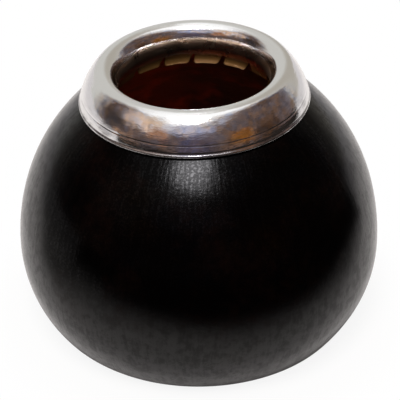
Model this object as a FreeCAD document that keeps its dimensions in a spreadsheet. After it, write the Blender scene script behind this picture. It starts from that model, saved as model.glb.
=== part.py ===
import FreeCAD, Part
import math
import os

import Sketcher

# Mate cup: a dried round gourd with a spun metal collar round its mouth.
#
# The origin is on the surface that the cup stands on, under the middle of the gourd, with +Z up.
# The gourd is a hollow shell of even wall. Its outline is a chain of tangent arcs, from the flat foot over
# the low belly and up the long shoulder. The collar is one piece of thin sheet: a beaded skirt rests on the
# shoulder, a sloping crown rises to a rounded lip, and a throat goes down into the mouth, where its edge is
# slit into fingers that are pressed out along a bevel in the gourd. The collar sits a little askew. It is
# turned about its pivot, the point of the axis that the shoulder faces where the skirt rests on it, so the
# skirt still meets the gourd all the way round.
# Lengths are in millimetres and angles in degrees.

SIZES = {
    # gourd
    "belly_radius": 48.9,
    "belly_height": 24.1,
    "shoulder_offset": 5.5,
    "lower_radius": 34.9,
    "base_blend": 9.3,
    "wall": 5.5,
    "hollow_radius": 14.0,
    "hollow_depth": 1.0,
    "scar_radius": 3.0,
    "scar_depth": 0.7,
    # collar
    "throat_radius": 19.8,
    "crest_reach": 3.8,
    "skirt_reach": 6.7,
    "collar_height": 10.1,
    "metal": 0.8,
    "bead_radius": 0.6,
    "bead_wrap": 55.0,
    "crown_radius": 18.5,
    "lip_radius": 2.9,
    "roll_radius": 8.4,
    "collar_lean": 1.85,
    # fingers at the throat's edge
    "bend_radius": 3.0,
    "finger_flare": 21.0,
    "finger_drop": 6.4,
    "finger_count": 16,
    "finger_round": 0.7,
    "slit_drop": 2.4,
    "slit_width": 0.5,
    "slit_spread": 22.0,
    # fit between the two
    "fit_gap": 0.15,
    "mouth_clearance": 0.7,
    "rim_room": 5.0,
}

START, END, CENTRE = 1, 2, 3
H_AXIS, V_AXIS = -1, -2
ORIGIN = (H_AXIS, START)

doc = FreeCAD.newDocument("mate_cup")
sheet = doc.addObject("Spreadsheet::Sheet", "Sizes")
for row, (name, value) in enumerate(SIZES.items(), start=1):
    sheet.set(f"A{row}", name)
    sheet.set(f"B{row}", str(value))
    sheet.setAlias(f"B{row}", name)
doc.recompute()


def size(name):
    # a driving dimension, read from the sheet
    return float(sheet.get(name))


def shoulder_radius():
    return size("belly_radius") + size("shoulder_offset")


def crest_radius():
    return size("throat_radius") + size("crest_reach")


def skirt_radius():
    return crest_radius() + size("skirt_reach")


def toward(centre, distance, degrees):
    # the point that lies that far from the centre in that direction
    angle = math.radians(degrees)
    return (centre[0] + distance * math.cos(angle), centre[1] + distance * math.sin(angle))


def bearing(start, end):
    return math.degrees(math.atan2(end[1] - start[1], end[0] - start[0])) % 360


def origin_feature(body, role):
    return next(feature for feature in body.Origin.OriginFeatures if feature.Role == role)


def new_body(label):
    body = doc.addObject("PartDesign::Body", label)
    body.Label = label
    doc.recompute()
    return body


class Section:
    # A sketch in half section: x runs out from the axis, y runs up.
    # Geometry is drawn where it belongs and then tied down, so that the sheet drives it.

    def __init__(self, body, name):
        self.name = name
        if body is None:
            self.sketch = doc.addObject("Sketcher::SketchObject", name)
            return
        self.sketch = body.newObject("Sketcher::SketchObject", name)
        self.sketch.AttachmentSupport = (origin_feature(body, "XZ_Plane"), [""])
        self.sketch.MapMode = "FlatFace"

    def line(self, start, end):
        ends = (FreeCAD.Vector(*start, 0), FreeCAD.Vector(*end, 0))
        return self.sketch.addGeometry(Part.LineSegment(*ends))

    def arc(self, centre, radius, first, last):
        # anticlockwise from one direction to the other
        circle = Part.Circle(FreeCAD.Vector(*centre, 0), FreeCAD.Vector(0, 0, 1), radius)
        return self.sketch.addGeometry(
            Part.ArcOfCircle(circle, math.radians(first), math.radians(last))
        )

    def point(self, place):
        index = self.sketch.addGeometry(Part.Point(FreeCAD.Vector(*place, 0)))
        self.sketch.setConstruction(index, True)
        return index

    def tie(self, kind, *items):
        return self.sketch.addConstraint(Sketcher.Constraint(kind, *items))

    def meet(self, first, second):
        self.tie("Coincident", *first, *second)

    def flow(self, first, second):
        # two ends meet, tangent to each other
        self.tie("Tangent", *first, *second)

    def drive(self, expression, value, kind, *items):
        # a dimension that follows an expression on the sheet
        index = self.sketch.addConstraint(Sketcher.Constraint(kind, *items, value))
        self.sketch.setExpression(f"Constraints[{index}]", expression)

    def measure(self, name, value, kind, *items):
        # a dimension that other sketches read by its name
        index = self.sketch.addConstraint(Sketcher.Constraint(kind, *items, value))
        self.sketch.setDriving(index, False)
        self.sketch.renameConstraint(index, name)

    def settle(self):
        # solves the sketch and says whether anything in it is still loose
        doc.recompute()
        left = self.sketch.solve()
        print(f"{self.name}: solved {left == 0}, loose {self.sketch.DoF}")


def spin(body, kind, name, section):
    feature = body.newObject(kind, name)
    feature.Profile = section.sketch
    feature.ReferenceAxis = (section.sketch, ["V_Axis"])
    feature.Angle = 360
    doc.recompute()
    return feature


def find_seat():
    # Where the collar sits. The shoulder's centre, the pivot and the middle of the bead lie in one line.
    shoulder = (-size("shoulder_offset"), size("belly_height"))
    reach = shoulder_radius() + size("fit_gap") + size("bead_radius")
    bead_x = skirt_radius() - size("bead_radius")
    bead = (bead_x, shoulder[1] + math.sqrt(reach**2 - (bead_x - shoulder[0]) ** 2))
    steepness = (bead[1] - shoulder[1]) / (bead[0] - shoulder[0])
    pivot = (0.0, shoulder[1] - shoulder[0] * steepness)
    return shoulder, reach, bead, pivot


def draw_layout():
    # The seat as a sketch of its own, so that the gourd and the collar read the same two heights from it.
    s = Section(None, "Layout")
    shoulder, reach, bead, pivot = find_seat()
    shoulder_point = s.point(shoulder)
    pivot_point = s.point(pivot)
    spoke = s.line(shoulder, bead)
    s.sketch.setConstruction(spoke, True)
    s.meet((spoke, START), (shoulder_point, START))
    s.tie("PointOnObject", pivot_point, START, V_AXIS)
    s.tie("PointOnObject", pivot_point, START, spoke)
    s.drive("Sizes.shoulder_offset", -shoulder[0], "DistanceX", spoke, START, *ORIGIN)
    s.drive("Sizes.belly_height", shoulder[1], "DistanceY", *ORIGIN, spoke, START)
    s.drive("Sizes.throat_radius + Sizes.crest_reach + Sizes.skirt_reach - Sizes.bead_radius",
            bead[0], "DistanceX", *ORIGIN, spoke, END)
    s.drive("Sizes.belly_radius + Sizes.shoulder_offset + Sizes.fit_gap + Sizes.bead_radius",
            reach, "Distance", spoke)
    s.measure("pivot", pivot[1], "DistanceY", *ORIGIN, pivot_point, START)
    s.measure("seat_rise", bead[1] - pivot[1], "DistanceY", pivot_point, START, spoke, END)
    s.settle()


def collar_places():
    # the centres of the collar's arcs in its own frame, whose origin is the pivot
    _, _, seat, pivot = find_seat()
    bead = (seat[0], seat[1] - pivot[1])
    lip_rise = size("collar_height") - size("lip_radius") - size("bead_radius")
    lip = (crest_radius(), bead[1] + lip_rise)
    roll_x = size("throat_radius") + size("roll_radius")
    roll_to_lip = size("roll_radius") - size("lip_radius")
    roll = (roll_x, lip[1] - math.sqrt(roll_to_lip**2 - (roll_x - lip[0]) ** 2))
    # the crown starts at the bead's upper end and runs tangent into the lip
    foot = toward(bead, size("bead_radius"), size("bead_wrap"))
    span = math.dist(foot, lip)
    near = size("crown_radius")
    far = near - size("lip_radius")
    along = (near**2 - far**2 + span**2) / (2 * span)
    aside = math.sqrt(near**2 - along**2)
    ahead = bearing(foot, lip)
    crown = toward(toward(foot, along, ahead), aside, ahead + 90)
    bend = (size("throat_radius") + size("bend_radius"), roll[1])
    return {"bead": bead, "lip": lip, "roll": roll, "crown": crown, "foot": foot, "bend": bend,
            "pivot": pivot}


# Gourd: the wall is drawn in half section and spun, and the mouth is then cut along the collar's axis.

def draw_wall(body):
    s = Section(body, "Wall")
    wall = size("wall")
    belly = size("belly_radius")
    belly_z = size("belly_height")
    big = shoulder_radius()
    upper = (-size("shoulder_offset"), belly_z)
    peak = math.degrees(math.acos(-upper[0] / big))
    in_peak = math.degrees(math.acos(-upper[0] / (big - wall)))
    low_radius = size("lower_radius")
    low = (belly - low_radius, belly_z)
    round_radius = size("base_blend")
    drop = belly_z - round_radius
    blend = (low[0] + math.sqrt((low_radius - round_radius) ** 2 - drop**2), round_radius)
    turn_low = bearing(low, blend) - 360

    hollow = size("hollow_radius")
    deep = size("hollow_depth")
    dish_radius = (hollow**2 + deep**2) / (2 * deep)
    dish = (0.0, deep - dish_radius)
    scar_x = size("scar_radius")
    scar_z = dish[1] + math.sqrt(dish_radius**2 - scar_x**2)
    scar_deep = size("scar_depth")
    scar_radius = (scar_x**2 + scar_deep**2) / (2 * scar_deep)
    scar = (0.0, scar_z - scar_deep + scar_radius)

    # outside, from the axis under the foot to the axis at the top
    scar_arc = s.arc(scar, scar_radius, 270, bearing(scar, (scar_x, scar_z)))
    dish_arc = s.arc(dish, dish_radius, bearing(dish, (hollow, 0)), bearing(dish, (scar_x, scar_z)))
    foot_line = s.line((hollow, 0), (blend[0], 0))
    blend_arc = s.arc(blend, round_radius, -90, turn_low)
    low_arc = s.arc(low, low_radius, turn_low, 0)
    top_arc = s.arc(upper, big, 0, peak)
    # inside, at the wall's thickness
    in_blend = s.arc(blend, round_radius - wall, -90, turn_low)
    in_low = s.arc(low, low_radius - wall, turn_low, 0)
    in_top = s.arc(upper, big - wall, 0, in_peak)
    in_floor = s.line((0, wall), (blend[0], wall))
    upper_cut = s.line(toward(upper, big, peak), toward(upper, big - wall, in_peak))
    lower_cut = s.line((0, wall), (0, scar[1] - scar_radius))

    s.meet((scar_arc, END), (dish_arc, END))
    s.meet((dish_arc, START), (foot_line, START))
    s.flow((foot_line, END), (blend_arc, START))
    s.flow((blend_arc, END), (low_arc, START))
    s.flow((low_arc, END), (top_arc, START))
    s.meet((top_arc, END), (upper_cut, START))
    s.meet((upper_cut, END), (in_top, END))
    s.flow((in_floor, END), (in_blend, START))
    s.flow((in_blend, END), (in_low, START))
    s.flow((in_low, END), (in_top, START))
    s.meet((in_floor, START), (lower_cut, START))
    s.meet((lower_cut, END), (scar_arc, START))
    for outer, inner in ((blend_arc, in_blend), (low_arc, in_low), (top_arc, in_top)):
        s.meet((outer, CENTRE), (inner, CENTRE))
    for place in ((scar_arc, CENTRE), (scar_arc, START), (dish_arc, CENTRE)):
        s.tie("PointOnObject", *place, V_AXIS)
    for place in ((top_arc, END), (in_top, END), (in_floor, START)):
        s.tie("PointOnObject", *place, V_AXIS)
    for place in ((foot_line, START), (foot_line, END)):
        s.tie("PointOnObject", *place, H_AXIS)
    s.tie("Horizontal", in_floor)

    s.drive("Sizes.hollow_radius", hollow, "DistanceX", *ORIGIN, foot_line, START)
    s.drive("(Sizes.hollow_radius^2 + Sizes.hollow_depth^2) / (2 * Sizes.hollow_depth)",
            dish_radius, "Radius", dish_arc)
    s.drive("Sizes.scar_radius", scar_x, "DistanceX", *ORIGIN, scar_arc, END)
    s.drive("(Sizes.scar_radius^2 + Sizes.scar_depth^2) / (2 * Sizes.scar_depth)",
            scar_radius, "Radius", scar_arc)
    s.drive("Sizes.base_blend", round_radius, "Radius", blend_arc)
    s.drive("Sizes.lower_radius", low_radius, "Radius", low_arc)
    s.drive("Sizes.belly_height", belly_z, "DistanceY", *ORIGIN, low_arc, CENTRE)
    s.drive("Sizes.belly_height", belly_z, "DistanceY", *ORIGIN, top_arc, CENTRE)
    s.drive("Sizes.belly_radius", belly, "DistanceX", *ORIGIN, low_arc, END)
    s.drive("Sizes.belly_radius + Sizes.shoulder_offset", big, "Radius", top_arc)
    s.drive("Sizes.belly_radius + Sizes.shoulder_offset - Sizes.wall", big - wall, "Radius", in_top)
    s.settle()
    return s


def draw_mouth(body, places):
    # In the collar's frame: all above the flat rim, a bore that clears the throat, and below it a bevel
    # along the fingers.
    s = Section(body, "Mouth")
    s.sketch.AttachmentOffset = FreeCAD.Placement(
        FreeCAD.Vector(0, places["pivot"][1], 0),
        FreeCAD.Rotation(FreeCAD.Vector(0, 0, 1), size("collar_lean")),
    )
    s.sketch.setExpression(".AttachmentOffset.Base.y", "Layout.Constraints.pivot")
    s.sketch.setExpression(".AttachmentOffset.Rotation.Angle", "Sizes.collar_lean")
    bore = size("throat_radius") + size("metal") + size("mouth_clearance")
    flare = size("finger_flare")
    reach = size("bend_radius") - size("metal") - size("fit_gap")
    bend = places["bend"]
    touch = toward(bend, reach, 180 + flare)
    slope = math.tan(math.radians(flare))
    high = shoulder_radius() + size("wall")
    out = skirt_radius()
    rim = places["bead"][1] + size("collar_height") - size("bead_radius") - size("metal") - size("rim_room")
    deep = places["bead"][1] / 2
    corner = touch[1] - (bore - touch[0]) / slope
    wide = touch[0] + (touch[1] - deep) * slope

    centre = s.point(bend)
    top = s.line((0, high), (out, high))
    outside = s.line((out, high), (out, rim))
    rim_line = s.line((out, rim), (bore, rim))
    side = s.line((bore, rim), (bore, corner))
    bevel = s.line((bore, corner), (wide, deep))
    bottom = s.line((wide, deep), (0, deep))
    axis = s.line((0, deep), (0, high))
    loop = (top, outside, rim_line, side, bevel, bottom, axis)
    for first, second in zip(loop, loop[1:] + loop[:1]):
        s.meet((first, END), (second, START))
    for level in (top, rim_line, bottom):
        s.tie("Horizontal", level)
    for upright in (outside, side):
        s.tie("Vertical", upright)
    s.tie("PointOnObject", axis, START, V_AXIS)
    s.tie("PointOnObject", axis, END, V_AXIS)
    s.drive("Sizes.throat_radius + Sizes.crest_reach + Sizes.skirt_reach",
            out, "DistanceX", *ORIGIN, outside, START)
    s.drive("Layout.Constraints.seat_rise + 1mm * (Sizes.collar_height - Sizes.bead_radius"
            " - Sizes.metal - Sizes.rim_room)", rim, "DistanceY", *ORIGIN, side, START)
    s.drive("Sizes.throat_radius + Sizes.metal + Sizes.mouth_clearance",
            bore, "DistanceX", *ORIGIN, side, START)
    s.drive("Sizes.throat_radius + Sizes.bend_radius", bend[0], "DistanceX", *ORIGIN, centre, START)
    s.drive("CollarSection.Constraints.waist", bend[1], "DistanceY", *ORIGIN, centre, START)
    s.drive("Sizes.bend_radius - Sizes.metal - Sizes.fit_gap", reach, "Distance", centre, START, bevel)
    s.drive("Sizes.finger_flare - 90", math.radians(flare - 90), "Angle", bevel)
    s.drive("Sizes.belly_radius + Sizes.shoulder_offset + Sizes.wall",
            high, "DistanceY", *ORIGIN, axis, END)
    s.drive("Layout.Constraints.seat_rise / 2", deep, "DistanceY", *ORIGIN, axis, START)
    s.settle()
    return s


def build_gourd(places):
    body = new_body("gourd")
    spin(body, "PartDesign::Revolution", "Shell", draw_wall(body))
    closed = body.Shape.Volume
    spin(body, "PartDesign::Groove", "MouthCut", draw_mouth(body, places))
    if body.Shape.Volume >= closed:
        raise RuntimeError("the mouth cuts nothing")
    return body


# Collar: the sheet's section is spun, and one slit is cut and repeated round the throat.

def draw_collar_section(body, places):
    s = Section(body, "CollarSection")
    metal = size("metal")
    bead, lip, roll, crown, foot = (places[k] for k in ("bead", "lip", "roll", "crown", "foot"))
    bend = places["bend"]
    bead_radius = size("bead_radius")
    crown_radius = size("crown_radius")
    lip_radius = size("lip_radius")
    roll_radius = size("roll_radius")
    bend_radius = size("bend_radius")
    flare = size("finger_flare")
    slope = math.radians(flare)
    to_lip = bearing(crown, lip)
    to_roll = bearing(roll, lip)

    # where the sheet's hidden side meets the bead
    hidden = crown_radius - metal
    span = math.dist(crown, bead)
    along = (hidden**2 - bead_radius**2 + span**2) / (2 * span)
    aside = math.sqrt(hidden**2 - along**2)
    ahead = bearing(crown, bead)
    join = toward(toward(crown, along, ahead), aside, ahead + 90)

    finger_z = roll[1] - size("finger_drop")
    face = toward(bend, bend_radius, 180 + flare)
    back = toward(bend, bend_radius - metal, 180 + flare)
    length = (face[1] - finger_z) / math.cos(slope)
    face_tip = toward(face, length, 270 + flare)
    back_tip = toward(back, length, 270 + flare)

    # the side that shows
    bead_arc = s.arc(bead, bead_radius, bearing(bead, join) - 360, size("bead_wrap"))
    crown_arc = s.arc(crown, crown_radius, bearing(crown, foot), to_lip)
    lip_arc = s.arc(lip, lip_radius, to_lip, to_roll)
    roll_arc = s.arc(roll, roll_radius, to_roll, 180)
    bend_arc = s.arc(bend, bend_radius, 180, 180 + flare)
    face_line = s.line(face, face_tip)
    tip_line = s.line(face_tip, back_tip)
    # the side that lies against the gourd
    back_line = s.line(back, back_tip)
    in_bend = s.arc(bend, bend_radius - metal, 180, 180 + flare)
    in_roll = s.arc(roll, roll_radius - metal, to_roll, 180)
    in_lip = s.arc(lip, lip_radius - metal, to_lip, to_roll)
    in_crown = s.arc(crown, crown_radius - metal, bearing(crown, join), to_lip)

    s.meet((bead_arc, END), (crown_arc, START))
    s.flow((crown_arc, END), (lip_arc, START))
    s.flow((lip_arc, END), (roll_arc, START))
    s.flow((roll_arc, END), (bend_arc, START))
    s.flow((bend_arc, END), (face_line, START))
    s.meet((face_line, END), (tip_line, START))
    s.meet((tip_line, END), (back_line, END))
    s.flow((in_bend, END), (back_line, START))
    s.flow((in_roll, END), (in_bend, START))
    s.flow((in_lip, END), (in_roll, START))
    s.flow((in_crown, END), (in_lip, START))
    s.meet((in_crown, START), (bead_arc, START))
    for outer, inner in ((crown_arc, in_crown), (lip_arc, in_lip), (roll_arc, in_roll), (bend_arc, in_bend)):
        s.meet((outer, CENTRE), (inner, CENTRE))
    s.tie("Horizontal", roll_arc, CENTRE, roll_arc, END)
    s.tie("Perpendicular", face_line, tip_line)
    s.tie("Parallel", face_line, back_line)

    s.drive("Sizes.throat_radius + Sizes.crest_reach + Sizes.skirt_reach - Sizes.bead_radius",
            bead[0], "DistanceX", *ORIGIN, bead_arc, CENTRE)
    s.drive("Layout.Constraints.seat_rise", bead[1], "DistanceY", *ORIGIN, bead_arc, CENTRE)
    s.drive("Sizes.bead_radius", bead_radius, "Radius", bead_arc)
    s.drive("Sizes.bead_radius * sin(Sizes.bead_wrap)",
            foot[1] - bead[1], "DistanceY", bead_arc, CENTRE, bead_arc, END)
    s.drive("Sizes.crown_radius", crown_radius, "Radius", crown_arc)
    s.drive("Sizes.lip_radius", lip_radius, "Radius", lip_arc)
    s.drive("Sizes.throat_radius + Sizes.crest_reach", lip[0], "DistanceX", *ORIGIN, lip_arc, CENTRE)
    s.drive("Sizes.collar_height - Sizes.lip_radius - Sizes.bead_radius",
            lip[1] - bead[1], "DistanceY", bead_arc, CENTRE, lip_arc, CENTRE)
    s.drive("Sizes.roll_radius", roll_radius, "Radius", roll_arc)
    s.drive("Sizes.throat_radius", size("throat_radius"), "DistanceX", *ORIGIN, roll_arc, END)
    s.drive("Sizes.bend_radius", bend_radius, "Radius", bend_arc)
    s.drive("Sizes.metal", metal, "Distance", in_crown, END, crown_arc, END)
    s.drive("Sizes.finger_drop", roll[1] - face_tip[1], "DistanceY", face_line, END, roll_arc, END)
    s.drive("Sizes.finger_flare - 90", math.radians(flare - 90), "Angle", face_line)
    s.measure("waist", roll[1], "DistanceY", *ORIGIN, roll_arc, END)
    s.settle()
    return s


def draw_slit(body, places):
    # One slit: round at its top, wider below, with the fingers' corners rounded off at their edge.
    s = Section(body, "Slit")
    waist = places["roll"][1]
    edge = waist - size("finger_drop")
    half = size("slit_width") / 2
    spread = size("slit_spread") / 2
    corner = size("finger_round")
    head = (0.0, waist - size("slit_drop") - half)
    past = edge - size("metal")
    leave = toward(head, half, spread)
    arrive_z = edge + corner - corner * math.sin(math.radians(spread))
    arrive = (leave[0] + (leave[1] - arrive_z) * math.tan(math.radians(spread)), arrive_z)
    turn = (arrive[0] + corner * math.cos(math.radians(spread)), edge + corner)

    def other(place):
        return (-place[0], place[1])

    top = s.arc(head, half, spread, 180 - spread)
    right = s.line(leave, arrive)
    right_round = s.arc(turn, corner, 180 + spread, 270)
    right_drop = s.line((turn[0], edge), (turn[0], past))
    bottom = s.line((turn[0], past), (-turn[0], past))
    left_drop = s.line((-turn[0], past), (-turn[0], edge))
    left_round = s.arc(other(turn), corner, 270, 360 - spread)
    left = s.line(other(arrive), other(leave))

    s.flow((top, START), (right, START))
    s.flow((right, END), (right_round, START))
    s.meet((right_round, END), (right_drop, START))
    s.meet((right_drop, END), (bottom, START))
    s.meet((bottom, END), (left_drop, START))
    s.meet((left_drop, END), (left_round, START))
    s.flow((left_round, END), (left, START))
    s.flow((left, END), (top, END))
    s.tie("PointOnObject", top, CENTRE, V_AXIS)
    s.tie("Vertical", right_drop)
    s.tie("Vertical", left_drop)
    s.tie("Horizontal", bottom)
    s.tie("Vertical", right_round, CENTRE, right_round, END)
    s.tie("Vertical", left_round, CENTRE, left_round, START)
    s.tie("Equal", right_round, left_round)
    s.tie("Symmetric", right_round, CENTRE, left_round, CENTRE, V_AXIS)
    s.drive("Sizes.slit_width / 2", half, "Radius", top)
    s.drive("Sizes.finger_round", corner, "Radius", right_round)
    s.drive("CollarSection.Constraints.waist - 1mm * (Sizes.slit_drop + Sizes.slit_width / 2)",
            head[1], "DistanceY", *ORIGIN, top, CENTRE)
    s.drive("CollarSection.Constraints.waist - 1mm * Sizes.finger_drop",
            edge, "DistanceY", *ORIGIN, right_round, END)
    s.drive("CollarSection.Constraints.waist - 1mm * (Sizes.finger_drop + Sizes.metal)",
            past, "DistanceY", *ORIGIN, right_drop, END)
    s.drive("Sizes.slit_spread", math.radians(2 * spread), "Angle", left, END, right, START)
    s.settle()
    return s


def build_collar(places):
    body = new_body("collar")
    spin(body, "PartDesign::Revolution", "Spun", draw_collar_section(body, places))
    whole = body.Shape.Volume
    outline = draw_slit(body, places)
    slit = body.newObject("PartDesign::Pocket", "SlitCut")
    slit.Profile = outline.sketch
    # the cut runs out from the axis and stops short of the skirt
    slit.setExpression("Length", "Sizes.throat_radius + Sizes.crest_reach")
    doc.recompute()
    one = whole - body.Shape.Volume
    pattern = body.newObject("PartDesign::PolarPattern", "Fingers")
    pattern.Originals = [slit]
    pattern.Axis = (origin_feature(body, "Z_Axis"), [""])
    pattern.Angle = 360
    pattern.setExpression("Occurrences", "Sizes.finger_count")
    body.Tip = pattern
    doc.recompute()
    every = whole - body.Shape.Volume
    print(f"one slit takes {one:.3f} mm3, all of them {every:.3f} mm3")
    if one <= 0 or abs(every / one - size("finger_count")) > 0.01:
        raise RuntimeError("the slits are not cut all round")
    # the collar leans about its pivot, its top toward -X
    body.Placement = FreeCAD.Placement(
        FreeCAD.Vector(0, 0, places["pivot"][1]),
        FreeCAD.Rotation(FreeCAD.Vector(0, -1, 0), size("collar_lean")),
    )
    body.setExpression("Placement.Base.z", "Layout.Constraints.pivot")
    body.setExpression("Placement.Rotation.Angle", "Sizes.collar_lean")
    doc.recompute()
    return body


def check_and_write(bodies):
    for item in doc.Objects:
        if "Invalid" in item.State or "Error" in item.State:
            raise RuntimeError(f"{item.Name} is {item.State}")
    for body in bodies:
        if body.Shape.isNull() or not body.Shape.isValid() or len(body.Shape.Solids) != 1:
            raise RuntimeError(f"{body.Label} is not one valid solid")
    os.makedirs("parts", exist_ok=True)
    for body in bodies:
        body.Shape.exportStep(f"parts/{body.Label}.step")
        box = body.Shape.optimalBoundingBox(False, False)
        print(f"{body.Label}: {body.Shape.Volume / 1000:.2f} cm3, {box}")


draw_layout()
places = collar_places()
collar = build_collar(places)
gourd = build_gourd(places)
check_and_write([gourd, collar])
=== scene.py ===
import math
import random

import bmesh
import bpy
from mathutils import Matrix, Vector, noise


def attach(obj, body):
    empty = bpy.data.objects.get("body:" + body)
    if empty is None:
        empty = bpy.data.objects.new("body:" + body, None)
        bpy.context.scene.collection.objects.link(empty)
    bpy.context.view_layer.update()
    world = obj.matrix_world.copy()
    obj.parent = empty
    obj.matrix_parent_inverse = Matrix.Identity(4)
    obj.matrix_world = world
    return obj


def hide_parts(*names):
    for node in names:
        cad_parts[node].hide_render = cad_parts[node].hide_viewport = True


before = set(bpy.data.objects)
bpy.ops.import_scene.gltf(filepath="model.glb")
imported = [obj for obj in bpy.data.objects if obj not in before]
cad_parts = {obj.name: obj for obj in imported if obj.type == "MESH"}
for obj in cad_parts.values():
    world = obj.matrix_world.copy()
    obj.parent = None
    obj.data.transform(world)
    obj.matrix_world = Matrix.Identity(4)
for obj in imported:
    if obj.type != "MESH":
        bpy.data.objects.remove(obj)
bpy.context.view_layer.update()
print("frame loaded")

# Lengths are in metres and angles in degrees. The gourd and the collar repeat the sizes of the solids.
gourd = {
    "bellyRadius": 0.0489,
    "bellyHeight": 0.0241,
    "shoulderOffset": 0.0055,  # how far past the axis the shoulder's centre lies
    "lowerRadius": 0.0349,
    "baseBlend": 0.0093,
    "wall": 0.0055,
    "hollowRadius": 0.014,
    "hollowDepth": 0.001,
    "scarRadius": 0.003,
    "scarDepth": 0.0007,
    "boreClearance": 0.0007,
    "rimRoom": 0.005,
    "segments": 288,
    "waviness": 0.00016,  # how far the skin wanders from the turned form
    "innerWaviness": 2.5,  # times as far inside
    "waveLength": 0.021,
    "calmFoot": (0.0005, 0.006),  # the heights between which that begins
    "calmSeat": (0.058, 0.064),  # and ends, under the collar
    "leanBand": (0.052, 0.064),  # the heights between which the shell takes up the collar's lean
    "bevelStep": 0.00001,
    "sharpAngle": 32,
}

collar = {
    "throatRadius": 0.0198,
    "crestReach": 0.0038,
    "skirtReach": 0.0067,
    "height": 0.0101,
    "metal": 0.0008,
    "beadRadius": 0.0006,
    "beadWrap": 55,
    "crownRadius": 0.0185,
    "lipRadius": 0.0029,
    "rollRadius": 0.0084,
    "bendRadius": 0.003,
    "grooveDrops": (0.00685, 0.00875),  # how far below the crest the crown's two grooves run
    "grooveWidth": 0.0005,
    "grooveDepth": 0.00005,
    "grooveZone": 0.42,  # the share of the crown with steps close enough for them
    "lean": 1.85,
    "fitGap": 0.00015,
    "fingerFlare": 21,
    "fingerDrop": 0.0064,
    "fingerCount": 16,
    "fingerRound": 0.0007,
    "slitDrop": 0.0024,
    "slitWidth": 0.0005,
    "slitSpread": 22,
    "fingerTwist": 13,  # the slits run down a little askew
    "tipCurl": 0.003,  # the height over which the tips turn back in
    "curlDepth": 0.0014,
    "curls": (0.75, 0.55, 0.3, 0.6, 0.2, 0.7, 0.5, 0.9, 0.4, 0.8, 0.3, 0.6, 0.7, 0.3, 0.95, 1),
    "seed": 16,
    "lifts": (0, 2.6),  # degrees by which a finger is pressed out less than the bevel
    "twistSpread": 3,
    "shortening": (0.2, 0.26),  # how much of its height a bent finger loses
    "hinge": 0.7,  # where the fingers start to bend, as a share of the way down to the slits
    "columnsPerFinger": 22,
    "sharpAngle": 50,
    "edgeRound": 0.00009,
}


def toward(centre, distance, degrees):
    angle = math.radians(degrees)
    return (centre[0] + distance * math.cos(angle), centre[1] + distance * math.sin(angle))


def bearing(start, end):
    return math.degrees(math.atan2(end[1] - start[1], end[0] - start[0])) % 360


def arcPoints(centre, radius, first, last, steps):
    return [toward(centre, radius, first + (last - first) * i / steps) for i in range(steps + 1)]


def linePoints(start, end, steps):
    return [tuple(a + (b - a) * i / steps for a, b in zip(start, end)) for i in range(steps + 1)]


def easeBetween(value, low, high):
    t = min(max((value - low) / (high - low), 0), 1)
    return t * t * (3 - 2 * t)


# Where the collar sits: the shoulder's centre, the pivot on the axis and the bead are in one line.
shoulderRadius = gourd["bellyRadius"] + gourd["shoulderOffset"]
shoulderCentre = (-gourd["shoulderOffset"], gourd["bellyHeight"])
crestRadius = collar["throatRadius"] + collar["crestReach"]
skirtRadius = crestRadius + collar["skirtReach"]
beadX = skirtRadius - collar["beadRadius"]
seatReach = shoulderRadius + collar["fitGap"] + collar["beadRadius"]
beadCentre = (beadX, shoulderCentre[1] + math.sqrt(seatReach**2 - (beadX - shoulderCentre[0]) ** 2))
pivotHeight = shoulderCentre[1] - shoulderCentre[0] * (
    (beadCentre[1] - shoulderCentre[1]) / (beadX - shoulderCentre[0])
)
lipCentre = (crestRadius, beadCentre[1] + collar["height"] - collar["lipRadius"] - collar["beadRadius"])
rollX = collar["throatRadius"] + collar["rollRadius"]
waistHeight = lipCentre[1] - math.sqrt(
    (collar["rollRadius"] - collar["lipRadius"]) ** 2 - (rollX - crestRadius) ** 2
)
rollCentre = (rollX, waistHeight)
bendCentre = (collar["throatRadius"] + collar["bendRadius"], waistHeight)


def leanedPoint(radius, height, angle, share):
    # a point of the turned form, leaned about the pivot by a share of the collar's lean
    upright = Vector((radius * math.cos(angle), radius * math.sin(angle), height - pivotHeight))
    turned = Matrix.Rotation(math.radians(-collar["lean"] * share), 3, "Y") @ upright
    return turned + Vector((0, 0, pivotHeight))


def edgesOver(mesh, degrees):
    limit = math.radians(degrees)
    return [edge for edge in mesh.edges if len(edge.link_faces) == 2 and edge.calc_face_angle() > limit]


def closeMesh(mesh, name):
    data = bpy.data.meshes.new(name)
    mesh.to_mesh(data)
    mesh.free()
    return data


def newPiece(name, mesh, materials, replaced):
    piece = bpy.data.objects.new(name, mesh)
    bpy.context.scene.collection.objects.link(piece)
    for material in materials:
        mesh.materials.append(material)
    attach(piece, "root")
    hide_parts(replaced)
    return piece


class Wire:
    # an output of a node, which can stand in a sum
    def __init__(self, shader, output):
        self.shader = shader
        self.output = output

    def __add__(self, other):
        return self.shader.maths("ADD", self, other)

    def __radd__(self, other):
        return self.shader.maths("ADD", other, self)

    def __sub__(self, other):
        return self.shader.maths("SUBTRACT", self, other)

    def __rsub__(self, other):
        return self.shader.maths("SUBTRACT", other, self)

    def __mul__(self, other):
        return self.shader.maths("MULTIPLY", self, other)

    def __rmul__(self, other):
        return self.shader.maths("MULTIPLY", other, self)

    def __truediv__(self, other):
        return self.shader.maths("DIVIDE", self, other)

    def __rtruediv__(self, other):
        return self.shader.maths("DIVIDE", other, self)

    def __pow__(self, other):
        return self.shader.maths("POWER", self, other)


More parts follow.
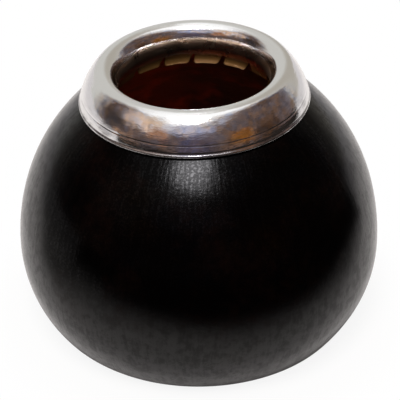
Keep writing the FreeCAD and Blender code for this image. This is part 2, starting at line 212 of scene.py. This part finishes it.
class Shader:
    # the nodes of one material or of the world
    def __init__(self, tree):
        self.tree = tree
        tree.nodes.clear()

    def add(self, kind, settings=None, inputs=None, output=0):
        node = self.tree.nodes.new(kind)
        for name, value in (settings or {}).items():
            setattr(node, name, value)
        for name, value in (inputs or {}).items():
            if isinstance(value, Wire):
                self.tree.links.new(value.output, node.inputs[name])
            else:
                node.inputs[name].default_value = value
        return Wire(self, node.outputs[output]) if node.outputs else None

    def maths(self, operation, *values):
        return self.add("ShaderNodeMath", {"operation": operation}, dict(enumerate(values)))

    def blend(self, factor, first, second):
        # colours, by a factor from 0 to 1
        ends = {
            socket: value if isinstance(value, Wire) else (*value, 1)
            for socket, value in ((6, first), (7, second))
        }
        return self.add("ShaderNodeMix", {"data_type": "RGBA"}, {0: factor, **ends}, 2)

    def fade(self, value, low, high):
        # 0 at low, 1 at high, eased between
        return self.add(
            "ShaderNodeMapRange",
            {"interpolation_type": "SMOOTHSTEP"},
            {"Value": value, "From Min": low, "From Max": high},
        )

    def noise(self, place, scale, detail=3, roughness=0.5, distortion=0):
        return self.add(
            "ShaderNodeTexNoise",
            None,
            {"Vector": place, "Scale": scale, "Detail": detail, "Roughness": roughness,
             "Distortion": distortion},
        )

    def vector(self, x, y, z):
        return self.add("ShaderNodeCombineXYZ", None, {0: x, 1: y, 2: z})

    def parts(self, vector):
        return (self.add("ShaderNodeSeparateXYZ", None, {0: vector}, i) for i in range(3))

    def objectPlace(self):
        # the place in the object's own frame, and its parts
        place = self.add("ShaderNodeTexCoord", output="Object")
        return place, *self.parts(place)

    def roundAxis(self, x, y):
        # how far from the upright axis a place is, and its direction from there
        distance = (x * x + y * y) ** 0.5
        return distance, x / distance, y / distance

    def relief(self, height):
        return self.add("ShaderNodeBump", None, {"Strength": 1, "Distance": 1, "Height": height})


def newMaterial(name):
    material = bpy.data.materials.new(name)
    material.use_nodes = True
    return material, Shader(material.node_tree)


lacquer = {
    "deepColour": (0.0003, 0.0002, 0.0002),
    "warmColour": (0.0016, 0.0006, 0.0004),
    "roughness": 0.13,
    "roughnessSpread": 0.06,
    "dullGloss": 0.035,  # where hands have rubbed it
    "fullGloss": 0.28,  # low down, and everywhere at a glancing angle
    "footEdge": (0.036, 0.022),  # the heights between which the full gloss comes in
    "glance": (0.46, 0.62),  # and how far the skin turns away from the eye, from 0 to 1
    "edgeDrift": (0.004, 0.07),  # how far broad patches move those two edges
    "fibreRun": (46, 150),  # how close the fibres lie, and how short they are
    "fibre": 0.000032,  # their height, and the pebble's
    "pebble": 0.00002,
    "pebbleScale": 1500,
    "broadScale": 60,
    "blotchScale": 400,
    "mottleScale": 1900,
    "mottle": 0.32,  # how much of the full gloss is left in flecks
    "wear": 0.42,  # how much of it has gone elsewhere, in blotches
}


def makeLacquer():
    # near-black lacquer over the skin: fibres run up and down, with a fine pebble between them
    material, s = newMaterial("lacquered_skin")
    place, x, y, z = s.objectPlace()
    _, aroundX, aroundY = s.roundAxis(x, y)
    close, short = lacquer["fibreRun"]
    fibrePlace = s.vector(aroundX * close, aroundY * close, z * short)
    fibre = s.noise(fibrePlace, 1, detail=4, roughness=0.6, distortion=0.4)
    pebble = s.noise(place, lacquer["pebbleScale"], roughness=0.6)
    broad = s.noise(place, lacquer["broadScale"])
    blotches = s.noise(place, lacquer["blotchScale"], detail=5, roughness=0.65)
    warm = s.fade(broad * 0.6 + blotches * 0.4, 0.45, 0.7)
    colour = s.blend(warm, lacquer["deepColour"], lacquer["warmColour"])
    roughness = s.fade(broad, 0.3, 0.7) * lacquer["roughnessSpread"] + lacquer["roughness"]
    relief = s.relief(fibre * lacquer["fibre"] + pebble * lacquer["pebble"])
    finish = {"Base Color": colour, "Roughness": roughness, "Normal": relief}
    dull, full = (
        s.add("ShaderNodeBsdfPrincipled", None, {**finish, "Specular IOR Level": gloss})
        for gloss in (lacquer["dullGloss"], lacquer["fullGloss"])
    )
    facing = s.add("ShaderNodeLayerWeight", None, {"Blend": 0.5}, "Facing")
    patchy = (broad - 0.5) * 2
    heightDrift, facingDrift = lacquer["edgeDrift"]
    rubbed = 1 - s.fade(facing + patchy * facingDrift, *lacquer["glance"])
    rubbed = rubbed * (1 - s.fade(z + patchy * heightDrift, *lacquer["footEdge"]))
    flecks = s.noise(place, lacquer["mottleScale"], detail=2, roughness=0.7) * 0.6 + fibre * 0.4
    worn = s.fade(flecks * 0.25 + fibre * 0.2 + blotches * 0.55, 0.44, 0.58) * lacquer["wear"]
    rubbed = rubbed * (1 - s.fade(flecks, 0.47, 0.66) * lacquer["mottle"]) + (1 - rubbed) * worn
    surface = s.add("ShaderNodeMixShader", None, {0: rubbed, 1: full, 2: dull})
    s.add("ShaderNodeOutputMaterial", None, {"Surface": surface})
    return material


inside = {
    "paintedShadeColour": (0.008, 0.001, 0.001),
    "darkColour": (0.1, 0.004, 0.001),
    "redColour": (0.42, 0.03, 0.003),
    "tanColour": (0.22, 0.08, 0.025),
    "paintedShadeShare": 0.97,
    "paintedShadeEdge": (-0.003, 0.011),  # across the cup, from its lighter side to the side darkened by painted shade
    "paintedShadeDrift": 0.07,
    "paintedShadeScale": 55,
    "broadScale": 45,
    "fineScale": 420,
    "lowEdge": (0.03, 0.008),  # the heights between which it turns lighter
    "fineRelief": 0.0002,
    "broadRelief": 0.0006,
    "roughness": 0.42,
    "gloss": 0.08,
}


def makeInside():
    # the bare inner wall, stained dark red-brown by use and lighter toward the floor, with painted
    # shade near black over one side
    material, s = newMaterial("stained_inside")
    place, x, _, z = s.objectPlace()
    broad = s.noise(place, inside["broadScale"], detail=4, roughness=0.6)
    fine = s.noise(place, inside["fineScale"], detail=4, roughness=0.6)
    stain = s.blend(s.fade(broad, 0.42, 0.6), inside["darkColour"], inside["redColour"])
    low = s.fade(z, *inside["lowEdge"]) * s.fade(broad * 0.6 + fine * 0.4, 0.42, 0.6)
    colour = s.blend(low, stain, inside["tanColour"])
    # painted shade: one side of the inside turns near black, its edge wandering
    drift = (s.noise(place, inside["paintedShadeScale"], roughness=0.6) - 0.5) * inside["paintedShadeDrift"]
    paintedShade = s.fade(x + drift, *inside["paintedShadeEdge"]) * inside["paintedShadeShare"]
    colour = s.blend(paintedShade, colour, inside["paintedShadeColour"])
    surface = s.add(
        "ShaderNodeBsdfPrincipled", None,
        {"Base Color": colour, "Roughness": inside["roughness"], "Specular IOR Level": inside["gloss"],
         "Normal": s.relief(fine * inside["fineRelief"] + broad * inside["broadRelief"])},
    )
    s.add("ShaderNodeOutputMaterial", None, {"Surface": surface})
    return material


def gourdStations():
    # the half section, from under the foot over the outside, through the mouth and down the inside
    wall = gourd["wall"]
    low = (gourd["bellyRadius"] - gourd["lowerRadius"], gourd["bellyHeight"])
    blendRadius = gourd["baseBlend"]
    reach = math.sqrt((gourd["lowerRadius"] - blendRadius) ** 2 - (low[1] - blendRadius) ** 2)
    blend = (low[0] + reach, blendRadius)
    lowTurn = bearing(low, blend) - 360

    dishRadius = (gourd["hollowRadius"] ** 2 + gourd["hollowDepth"] ** 2) / (2 * gourd["hollowDepth"])
    dish = (0, gourd["hollowDepth"] - dishRadius)
    scarX = gourd["scarRadius"]
    scarHeight = dish[1] + math.sqrt(dishRadius**2 - scarX**2)
    scarRound = (scarX**2 + gourd["scarDepth"] ** 2) / (2 * gourd["scarDepth"])
    scar = (0, scarHeight - gourd["scarDepth"] + scarRound)

    bore = collar["throatRadius"] + collar["metal"] + gourd["boreClearance"]
    rim = beadCentre[1] + collar["height"] - collar["beadRadius"] - collar["metal"] - gourd["rimRoom"]
    rimX = shoulderCentre[0] + math.sqrt(shoulderRadius**2 - (rim - shoulderCentre[1]) ** 2)
    rimTurn = bearing(shoulderCentre, (rimX, rim))
    touch = toward(bendCentre, collar["bendRadius"] - collar["metal"] - collar["fitGap"],
                   180 + collar["fingerFlare"])
    slope = math.tan(math.radians(collar["fingerFlare"]))
    corner = touch[1] - (bore - touch[0]) / slope
    # the bevel ends where it meets the inside of the shoulder
    innerRadius = shoulderRadius - wall
    bevelEnd = corner
    while math.dist(shoulderCentre, (bore + (corner - bevelEnd) * slope, bevelEnd)) > innerRadius:
        bevelEnd -= gourd["bevelStep"]
    bevelX = bore + (corner - bevelEnd) * slope
    bevelTurn = bearing(shoulderCentre, (bevelX, bevelEnd))

    outside = arcPoints(scar, scarRound, 270, bearing(scar, (scarX, scarHeight)), 5)[1:]
    outside += arcPoints(dish, dishRadius, bearing(dish, (scarX, scarHeight)),
                         bearing(dish, (gourd["hollowRadius"], 0)), 6)[1:]
    outside += linePoints((gourd["hollowRadius"], 0), (blend[0], 0), 8)[1:]
    outside += arcPoints(blend, blendRadius, -90, lowTurn, 14)[1:]
    outside += arcPoints(low, gourd["lowerRadius"], lowTurn, 0, 16)[1:]
    outside += arcPoints(shoulderCentre, shoulderRadius, 0, rimTurn, 46)[1:]
    mouth = linePoints((rimX, rim), (bore, rim), 3)[1:]
    mouth += linePoints((bore, rim), (bore, corner), 4)[1:]
    mouth += linePoints((bore, corner), (bevelX, bevelEnd), 6)[1:]
    within = arcPoints(shoulderCentre, innerRadius, bevelTurn, 0, 30)[1:]
    within += arcPoints(low, gourd["lowerRadius"] - wall, 0, lowTurn, 14)[1:]
    within += arcPoints(blend, blendRadius - wall, lowTurn, -90, 6)[1:]
    within += linePoints((blend[0], wall), (0, wall), 14)[1:-1]
    stations = [(point, "outside") for point in outside]
    stations += [(point, "mouth") for point in mouth]
    stations += [(point, "inside") for point in within]
    return stations, (scar[1] - scarRound, wall)


def makeGourd():
    stations, ends = gourdStations()
    count = gourd["segments"]
    mesh = bmesh.new()
    rings = []
    for (radius, height), part in stations:
        share = 1 if part == "mouth" else easeBetween(height, *gourd["leanBand"])
        # the skin wanders from the turned form, but not at the foot or under the collar
        free = easeBetween(height, *gourd["calmFoot"]) * (1 - easeBetween(height, *gourd["calmSeat"]))
        ring = []
        for i in range(count):
            angle = 2 * math.pi * i / count
            point = leanedPoint(radius, height, angle, share)
            if free > 0:
                out = Vector((math.cos(angle), math.sin(angle), 0))
                wander = noise.noise(point / gourd["waveLength"]) * gourd["waviness"]
                if part == "inside":
                    wander *= gourd["innerWaviness"]
                point += out * wander * free
            ring.append(mesh.verts.new(point))
        rings.append(ring)
    for (lower, (_, part)), upper in zip(zip(rings, stations), rings[1:]):
        for i in range(count):
            after = (i + 1) % count
            face = mesh.faces.new((lower[i], lower[after], upper[after], upper[i]))
            face.smooth = True
            face.material_index = 0 if part == "outside" else 1
    # the middles of the scar and of the cup's floor
    for index, (ring, height) in enumerate(zip((rings[0], rings[-1]), ends)):
        middle = mesh.verts.new((0, 0, height))
        for i in range(count):
            pair = (ring[i], ring[(i + 1) % count])
            face = mesh.faces.new((*pair, middle) if index else (*reversed(pair), middle))
            face.smooth = True
            face.material_index = index
    for edge in edgesOver(mesh, gourd["sharpAngle"]):
        edge.smooth = False
    data = closeMesh(mesh, "gourd_shell")
    newPiece("gourd_shell", data, [makeLacquer(), makeInside()], "gourd")
    print("gourd made", len(data.vertices), "points")


aluminium = {
    "colour": (0.86, 0.855, 0.85),
    "stainColour": (0.33, 0.24, 0.17),  # tea, low in the throat
    "stainTop": 0.0429,
    "stainFoot": 0.0414,
    "paintedReflectionColour": (0.125, 0.062, 0.018),  # painted reflection of the warm inside, dark brown, toward the fingers' tips
    "paintedReflectionDepth": 0.5,  # how much of the metal's mirror that hides
    "paintedReflectionTop": 0.0374,
    "paintedReflectionFoot": 0.0362,
    "roughness": 0.07,
    "smudgeRoughness": 0.08,
    "stainRoughness": 0.2,
    "wandering": 0.003,  # how far the edges of tea and brown wander up and down
    "grimeAndShadeColour": (0.11, 0.095, 0.09),  # grime and painted shade, in the groove above the bead and on the bead
    "grimeAndShadeTop": 0.0369,
    "grimeAndShadeEdge": 0.0006,
    "grimeAndShadeShare": 0.6,
    "grimeAndShadeRoughness": 0.13,
    "tarnishTop": 0.0415,
    "tarnishShare": 0.4,
    "markShare": 0.4,  # how dark the hairline marks are
    "throatEdge": (0.0236, 0.0228),  # distances from the axis, for what is only in the throat
    "outsideEdge": (0.0236, 0.0245),  # or only outside the crest
    "smudgeScale": 130,
    "dentScale": 95,
    "lineScale": 5200,  # across the marks that run round the sheet
    "scratchScale": 1500,
    "streakScale": 420,
    "hairlineScale": 2600,
    "relief": {
        "lines": 0.0000014,
        "scratches": 0.000011,
        "streaks": 0.00006,
        "dents": 0.00012,
        "marks": 0.000005,
    },
}


def makeAluminium():
    # spun, polished sheet with fine lines round it, scratched, smudged, stained in the throat, a
    # painted reflection of the warm inside on the fingers, and grime with painted shade by the bead
    material, s = newMaterial("spun_aluminium")
    place, x, y, z = s.objectPlace()
    axisDistance, aroundX, aroundY = s.roundAxis(x, y)
    fine, coarse = aluminium["lineScale"], aluminium["scratchScale"]
    linePlace = s.vector(axisDistance * fine + aroundX, z * fine + aroundY, aroundX * 1.5)
    lines = s.noise(linePlace, 1, detail=2)
    scratchPlace = s.vector(axisDistance * coarse + aroundX * 22, z * coarse, aroundY * 22)
    scratches = s.noise(scratchPlace, 1, roughness=0.7)
    slope = z - axisDistance
    streakPlace = s.vector(aroundX * 5, aroundY * 5, slope * aluminium["streakScale"])
    streaks = s.noise(streakPlace, 1, detail=4, roughness=0.65)
    smudge = s.noise(place, aluminium["smudgeScale"], detail=4, roughness=0.6)
    dents = s.noise(place, aluminium["dentScale"], detail=2)
    throat = s.fade(axisDistance, *aluminium["throatEdge"])
    wandering = z + (smudge - 0.5) * aluminium["wandering"]
    stained = s.fade(wandering, aluminium["stainTop"], aluminium["stainFoot"]) * throat
    # painted reflection of the warm inside: dark brown and less mirror down the fingers toward their
    # tips
    paintedReflection = s.fade(wandering, aluminium["paintedReflectionTop"], aluminium["paintedReflectionFoot"]) * throat
    colour = s.blend(stained, aluminium["colour"], aluminium["stainColour"])
    colour = s.blend(paintedReflection, colour, aluminium["paintedReflectionColour"])
    outside = s.fade(axisDistance, *aluminium["outsideEdge"])
    # grime and painted shade: darker and rougher over the bead and the groove above it, which dims the
    # bead's highlight
    top, edge = aluminium["grimeAndShadeTop"], aluminium["grimeAndShadeEdge"]
    grimeAndShade = s.fade(z + (smudge - 0.5) * edge, top, top - edge) * outside
    grimeAndShade = grimeAndShade * s.fade(smudge, 0.3, 0.55)
    colour = s.blend(grimeAndShade * aluminium["grimeAndShadeShare"], colour, aluminium["grimeAndShadeColour"])
    outer = outside * s.fade(z, aluminium["tarnishTop"], aluminium["grimeAndShadeTop"])
    tarnish = s.fade(streaks * 0.5 + smudge * 0.5, 0.49, 0.6) * outer
    colour = s.blend(tarnish * aluminium["tarnishShare"], colour, aluminium["grimeAndShadeColour"])
    hairlinePlace = s.vector(aroundX * 7, aroundY * 7, slope * aluminium["hairlineScale"])
    hairlines = s.noise(hairlinePlace, 1, roughness=0.6)
    marks = s.fade(hairlines * 0.75 + smudge * 0.25, 0.53, 0.63) * outer
    colour = s.blend(marks * aluminium["markShare"], colour, aluminium["grimeAndShadeColour"])
    deep = aluminium["relief"]
    height = lines * deep["lines"] + scratches * deep["scratches"] + streaks * deep["streaks"]
    height = height + dents * deep["dents"] - marks * deep["marks"]
    roughness = s.fade(smudge, 0.4, 0.65) * aluminium["smudgeRoughness"] + aluminium["roughness"]
    roughness = roughness + stained * aluminium["stainRoughness"] + grimeAndShade * aluminium["grimeAndShadeRoughness"]
    surface = s.add(
        "ShaderNodeBsdfPrincipled", None,
        {"Base Color": colour, "Metallic": 1 - paintedReflection * aluminium["paintedReflectionDepth"], "Roughness": roughness,
         "Normal": s.relief(height)},
    )
    s.add("ShaderNodeOutputMaterial", None, {"Surface": surface})
    return material


def slitHalfWidth(depth):
    # half the slit's width at a depth below the waist: a round head, flared sides, rounded tips
    half = collar["slitWidth"] / 2
    spread = math.radians(collar["slitSpread"] / 2)
    head = collar["slitDrop"] + half
    if depth <= collar["slitDrop"]:
        return 0
    leave = head - half * math.sin(spread)
    if depth < leave:
        return math.sqrt(half**2 - (depth - head) ** 2)
    corner = collar["fingerRound"]
    arrive = collar["fingerDrop"] - corner + corner * math.sin(spread)
    width = half * math.cos(spread) + (min(depth, arrive) - leave) * math.tan(spread)
    if depth > arrive:
        turn = width + corner * math.cos(spread)
        width = turn - math.sqrt(max(corner**2 - (depth - collar["fingerDrop"] + corner) ** 2, 0))
    return width


def collarStations():
    # the sheet from the skirt over the crown and down the throat: pairs of a shown and a hidden point
    foot = toward(beadCentre, collar["beadRadius"], collar["beadWrap"])
    span = math.dist(foot, lipCentre)
    near = collar["crownRadius"]
    far = near - collar["lipRadius"]
    along = (near**2 - far**2 + span**2) / (2 * span)
    ahead = bearing(foot, lipCentre)
    crownCentre = toward(toward(foot, along, ahead), math.sqrt(near**2 - along**2), ahead + 90)
    toLip = bearing(crownCentre, lipCentre)
    toRoll = bearing(rollCentre, lipCentre)
    toFoot = bearing(crownCentre, foot)
    aboveGrooves = toFoot + (toLip - toFoot) * collar["grooveZone"]
    # each arc's centre and radius, the bearings where it starts and ends, and its steps
    arcs = (
        (crownCentre, near, toFoot, aboveGrooves, 26),
        (crownCentre, near, aboveGrooves, toLip, 10),
        (lipCentre, collar["lipRadius"], toLip, toRoll, 22),
        (rollCentre, collar["rollRadius"], toRoll, 180, 14),
        (bendCentre, collar["bendRadius"], 180, 180 + collar["fingerFlare"], 10),
    )
    crestHeight = lipCentre[1] + collar["lipRadius"]
    pairs = []
    for centre, radius, first, last, steps in arcs:
        shown = arcPoints(centre, radius, first, last, steps)
        if centre == crownCentre:
            for i, point in enumerate(shown):
                gaps = [abs(crestHeight - depth - point[1]) for depth in collar["grooveDrops"]]
                dip = collar["grooveDepth"] * (1 - easeBetween(min(gaps), 0, collar["grooveWidth"] / 2))
                shown[i] = toward(crownCentre, near - dip, bearing(crownCentre, point))
        hidden = arcPoints(centre, radius - collar["metal"], first, last, steps)
        pairs += list(zip(shown, hidden))[1 if pairs else 0:]

    # the fingers go straight down, with closer steps round the slit's head and at the tips
    flare = 270 + collar["fingerFlare"]
    bendDepth = waistHeight - pairs[-1][0][1]
    head = collar["slitDrop"]
    width = collar["slitWidth"]
    drop = collar["fingerDrop"]
    corner = collar["fingerRound"]
    depths = [bendDepth + (head - bendDepth) * t for t in (0.4, 0.8, 1)]
    depths += [head + width * t for t in (0.02, 0.06, 0.12, 0.2, 0.3, 0.42)]
    flank = depths[-1]
    depths += [flank + (drop - corner - flank) * t / 12 for t in range(1, 13)]
    depths += [drop - corner * (1 - t) for t in (0.25, 0.45, 0.62, 0.75, 0.85, 0.93, 0.98, 1)]
    shownStart, hiddenStart = pairs[-1]
    for depth in depths:
        length = (depth - bendDepth) / math.cos(math.radians(collar["fingerFlare"]))
        pairs.append((toward(shownStart, length, flare), toward(hiddenStart, length, flare)))

    # the bead runs round from the sheet's hidden side to its shown side
    joinTurn = bearing(beadCentre, pairs[0][1])
    bead = arcPoints(beadCentre, collar["beadRadius"], joinTurn - 360, collar["beadWrap"], 18)[1:-1]
    return bead, pairs


def makeCollar():
    bead, pairs = collarStations()
    shown = [pair[0] for pair in pairs]
    hidden = [pair[1] for pair in pairs]
    profile = bead + shown + hidden[::-1]
    # how far below the waist each point is, on the throat's side of the crest only
    drops = [waistHeight - place[1] if place[0] < bendCentre[0] else 0 for place in shown]
    depths = [0] * len(bead) + drops + drops[::-1]
    halfWidths = [slitHalfWidth(depth) for depth in depths]
    firstShown = len(bead)
    lastHidden = len(profile) - 1

    chance = random.Random(collar["seed"])
    count = collar["fingerCount"]
    columns = collar["columnsPerFinger"]
    fingers = [
        {"lift": chance.uniform(*collar["lifts"]),
         "twist": collar["fingerTwist"] + chance.uniform(-collar["twistSpread"], collar["twistSpread"]),
         "short": chance.uniform(*collar["shortening"]),
         "curl": collar["curls"][i] * collar["curlDepth"]}
        for i in range(count)
    ]
    fingerAngle = 2 * math.pi / count
    hinge = collar["slitDrop"] * collar["hinge"]
    mesh = bmesh.new()
    points = {}

    def pointAt(k, finger, column):
        if column == columns and halfWidths[k] == 0:
            finger, column = finger + 1, 0
        key = (k, finger % count, column)
        if key in points:
            return points[key]
        radius, height = profile[k]
        gap = math.asin(halfWidths[k] / radius)
        start = math.pi / 2 + fingerAngle * (finger % count)
        angle = start + gap + (fingerAngle - 2 * gap) * column / columns
        below = depths[k] - hinge
        if below > 0:
            # each finger is pressed out a little less or more than the next, and twisted
            own = fingers[finger % count]
            bow = math.sin(math.pi * column / columns) if halfWidths[k] == 0 else 1
            radius -= math.tan(math.radians(own["lift"])) * below * bow
            height += own["short"] * below * bow
            nearTip = 1 - (collar["fingerDrop"] - depths[k]) / collar["tipCurl"]
            radius -= own["curl"] * max(nearTip, 0) ** 2
            past = max(depths[k] - collar["slitDrop"], 0)
            angle += math.tan(math.radians(own["twist"])) * past / radius
        place = (radius * math.cos(angle), radius * math.sin(angle), height - pivotHeight)
        points[key] = mesh.verts.new(place)
        return points[key]

    total = len(profile)
    for k in range(total):
        after = (k + 1) % total
        for finger in range(count):
            for column in range(columns):
                corners = (
                    pointAt(k, finger, column),
                    pointAt(k, finger, column + 1),
                    pointAt(after, finger, column + 1),
                    pointAt(after, finger, column),
                )
                mesh.faces.new(corners)
    # the slits' walls
    for i in range(len(pairs) - 1):
        upper, lower = firstShown + i, firstShown + i + 1
        upperBack, lowerBack = lastHidden - i, lastHidden - i - 1
        if halfWidths[lower] == 0:
            continue
        for finger in range(count):
            for column in (0, columns):
                corners = [pointAt(k, finger, column) for k in (upper, lower, lowerBack, upperBack)]
                mesh.faces.new(corners if column == 0 else corners[::-1])
    bmesh.ops.recalc_face_normals(mesh, faces=mesh.faces)
    bmesh.ops.bevel(mesh, geom=edgesOver(mesh, collar["sharpAngle"]), offset=collar["edgeRound"],
                    segments=2, profile=0.5, affect="EDGES", clamp_overlap=True)
    for face in mesh.faces:
        face.smooth = True
    data = closeMesh(mesh, "spun_collar")
    piece = newPiece("spun_collar", data, [makeAluminium()], "collar")
    piece.location = (0, 0, pivotHeight)
    piece.rotation_euler = (0, math.radians(-collar["lean"]), 0)
    print("collar made", len(data.vertices), "points")


floor = {
    "radius": 3,
    "segments": 96,
    "colour": (0.42, 0.41, 0.39),
    "farColour": (0.3, 0.295, 0.29),
    "darkColour": (0.009, 0.0075, 0.0065),  # in front, out of the picture, for the lacquer to mirror
    "whiteReach": 0.085,
    "darkReach": 0.175,
    "darkTurn": 19,  # the middle of the dark, degrees round from the front
    "frontSqueeze": 1.45,  # the white ends nearer in front
    "sideSqueeze": 0.75,
    "backSpread": 5,  # and opens out behind
    "softening": 1.5,  # how much softer the white's edge gets, per metre
    "raggedness": 0.5,  # how far that edge wanders, per metre
    "raggedScale": 8,
    "farBand": (0.1, 0.5),  # the distances between which the colour turns into the far one
    "shadowShare": 0.1,  # how much of the real light and shade the camera sees beside the cup
    "shadowReach": 0.068,
}


def makeFloor():
    mesh = bmesh.new()
    bmesh.ops.create_circle(mesh, cap_ends=True, segments=floor["segments"], radius=floor["radius"])
    data = closeMesh(mesh, "floor")
    sheet = bpy.data.objects.new("floor", data)
    bpy.context.scene.collection.objects.link(sheet)
    material, s = newMaterial("white_floor")
    place, x, y, _ = s.objectPlace()
    turn = math.radians(floor["darkTurn"])
    across = (x * math.cos(turn) + y * math.sin(turn)) * floor["sideSqueeze"]
    along = y * math.cos(turn) - x * math.sin(turn)
    ahead = s.maths("MINIMUM", along, 0) * floor["frontSqueeze"]
    behind = s.maths("MAXIMUM", along, 0) * floor["backSpread"]
    distance = (x * x + y * y) ** 0.5
    away = s.maths("MAXIMUM", distance - floor["darkReach"], 0)
    reach = ((across * across + ahead * ahead) ** 0.5 - behind) / (away * floor["softening"] + 1)
    ragged = s.noise(place, floor["raggedScale"], detail=4, roughness=0.65) - 0.5
    reach = reach + ragged * distance * floor["raggedness"]
    white = s.blend(s.fade(distance, *floor["farBand"]), floor["colour"], floor["farColour"])
    colour = s.blend(s.fade(reach, floor["whiteReach"], floor["darkReach"]), white, floor["darkColour"])
    near = s.fade(distance, floor["shadowReach"], gourd["bellyRadius"])
    seen = s.add("ShaderNodeLightPath", output="Is Camera Ray")
    matt = s.add("ShaderNodeBsdfPrincipled", None,
                 {"Base Color": colour, "Roughness": 1, "Specular IOR Level": 0})
    glow = s.add("ShaderNodeEmission", None, {"Color": (1, 1, 1, 1), "Strength": 1})
    shown = seen * (1 - near * floor["shadowShare"])
    surface = s.add("ShaderNodeMixShader", None, {0: shown, 1: matt, 2: glow})
    s.add("ShaderNodeOutputMaterial", None, {"Surface": surface})
    data.materials.append(material)


room = {
    "wallColour": (0.62, 0.61, 0.58),
    "frontColour": (0.12, 0.088, 0.075),
    "frontTurn": 3,
    "frontReach": 116,  # how far round from there the dim part of the room goes
    "frontSoft": 15,
    "ceilingColour": (1.1, 1.1, 1.1),
    "ceilingEdge": 33,  # the elevation where the ceiling begins, at its lowest
    "ceilingTurn": -30,  # the direction in which it is lowest
    "ceilingClimb": 0.3,  # how fast its edge climbs away from there
    "climbEnd": 88,
    "ceilingSoft": 15,
    "unevenness": 14,  # degrees by which every edge in the room wanders
    "turnScale": 5,
    "riseScale": 7,
    "clutter": 3.2,  # how much the dim part is broken up
    "clutterFloor": 0.1,
    "clutterScale": 14,
    "tintScale": 11,
    "warmTint": (1.18, 0.92, 0.68),
    "coolTint": (0.76, 0.92, 1.3),
}

# Cards in the room, as the metal mirrors them: where each hangs, how far it reaches and its colour.
cards = (
    {"turn": 150, "rise": 15, "wide": 26, "high": 70, "colour": (0.45, 0.42, 0.37)},
    {"turn": -88, "rise": 12, "wide": 15, "high": 12, "colour": (0.05, 0.04, 0.036)},
    {"turn": -58, "rise": 33, "wide": 26, "high": 12, "colour": (0.62, 0.5, 0.4)},
    {"turn": -37, "rise": 24, "wide": 9, "high": 6, "colour": (0.36, 0.18, 0.09)},
    {"turn": -30, "rise": 13, "wide": 7, "high": 4, "colour": (0.07, 0.03, 0.025)},
    {"turn": -72, "rise": 1, "wide": 12, "high": 5, "colour": (0.3, 0.21, 0.16)},
    {"turn": 0, "rise": 11, "wide": 17, "high": 19, "colour": (0.085, 0.073, 0.1)},
    {"turn": -6, "rise": 35, "wide": 26, "high": 8, "colour": (0.43, 0.43, 0.5)},
    {"turn": 45, "rise": 13, "wide": 14, "high": 11, "colour": (0.2, 0.085, 0.018)},
    {"turn": 74, "rise": 8, "wide": 15, "high": 14, "colour": (0.06, 0.037, 0.025)},
    {"turn": -8, "rise": 65, "wide": 24, "high": 13.5, "colour": (50, 49, 51)},
)


def makeRoom():
    # a studio whose front is dim and warm under a bright ceiling and a large soft window
    world = bpy.data.worlds.new("studio")
    bpy.context.scene.world = world
    world.use_nodes = True
    s = Shader(world.node_tree)
    way = s.add("ShaderNodeTexCoord", output="Generated")
    x, y, z = s.parts(way)
    rise = s.maths("ARCSINE", z) * math.degrees(1)
    turn = s.maths("ARCTAN2", x, 0 - y) * math.degrees(1)
    offTurn = s.noise(way, room["turnScale"], detail=5, roughness=0.6) - 0.5
    offRise = s.noise(way, room["riseScale"], detail=5, roughness=0.6) - 0.5
    turn = turn + offTurn * (2 * room["unevenness"])
    rise = rise + offRise * room["unevenness"]
    side = s.maths("ABSOLUTE", turn - room["frontTurn"])
    front = s.fade(side, room["frontReach"] + room["frontSoft"], room["frontReach"] - room["frontSoft"])
    shade = s.blend(front, room["wallColour"], room["frontColour"])
    away = s.maths("MINIMUM", s.maths("ABSOLUTE", turn - room["ceilingTurn"]), room["climbEnd"])
    above = rise - away * room["ceilingClimb"] - room["ceilingEdge"]
    ceiling = s.fade(above, -room["ceilingSoft"], room["ceilingSoft"])
    shade = s.blend(ceiling, shade, room["ceilingColour"])
    for card in cards:
        across = (turn - card["turn"]) / card["wide"]
        up = (rise - card["rise"]) / card["high"]
        mask = s.fade(across * across + up * up, 2, 0)
        shade = s.blend(mask, shade, card["colour"])
    dim = front * (1 - ceiling)
    clutter = s.noise(way, room["clutterScale"], detail=5, roughness=0.75) - 0.5
    clutter = clutter * (2 * room["clutter"]) * dim
    clutter = s.maths("MAXIMUM", clutter + 1, room["clutterFloor"])
    shade = s.add("ShaderNodeVectorMath", {"operation": "SCALE"}, {0: shade, "Scale": clutter})
    cool = s.fade(s.noise(way, room["tintScale"], detail=4, roughness=0.6), 0.38, 0.62)
    tint = s.blend(cool, room["warmTint"], room["coolTint"])
    tint = s.blend(dim, (1, 1, 1), tint)
    shade = s.add("ShaderNodeVectorMath", {"operation": "MULTIPLY"}, {0: shade, 1: tint})
    seen = s.add("ShaderNodeLightPath", output="Is Camera Ray")
    shade = s.blend(seen, shade, (1, 1, 1))
    surface = s.add("ShaderNodeBackground", None, {"Color": shade, "Strength": 1})
    s.add("ShaderNodeOutputWorld", None, {"Surface": surface})


view = {
    "position": (0.00032, -0.38812, 0.29371),
    "downward": 33.812,
    "focalPixels": 1718.06,
    "framePixels": 400,
    "sensor": 36,
}


def makeCamera():
    data = bpy.data.cameras.new("camera")
    data.sensor_width = view["sensor"]
    data.lens = view["focalPixels"] * view["sensor"] / view["framePixels"]
    camera = bpy.data.objects.new("camera", data)
    camera.location = view["position"]
    camera.rotation_euler = (math.radians(90 - view["downward"]), 0, 0)
    bpy.context.scene.collection.objects.link(camera)
    bpy.context.scene.camera = camera


makeCamera()
makeGourd()
makeCollar()
makeFloor()
makeRoom()
bpy.context.scene.view_settings.view_transform = "Standard"
print("floor, room and camera made")
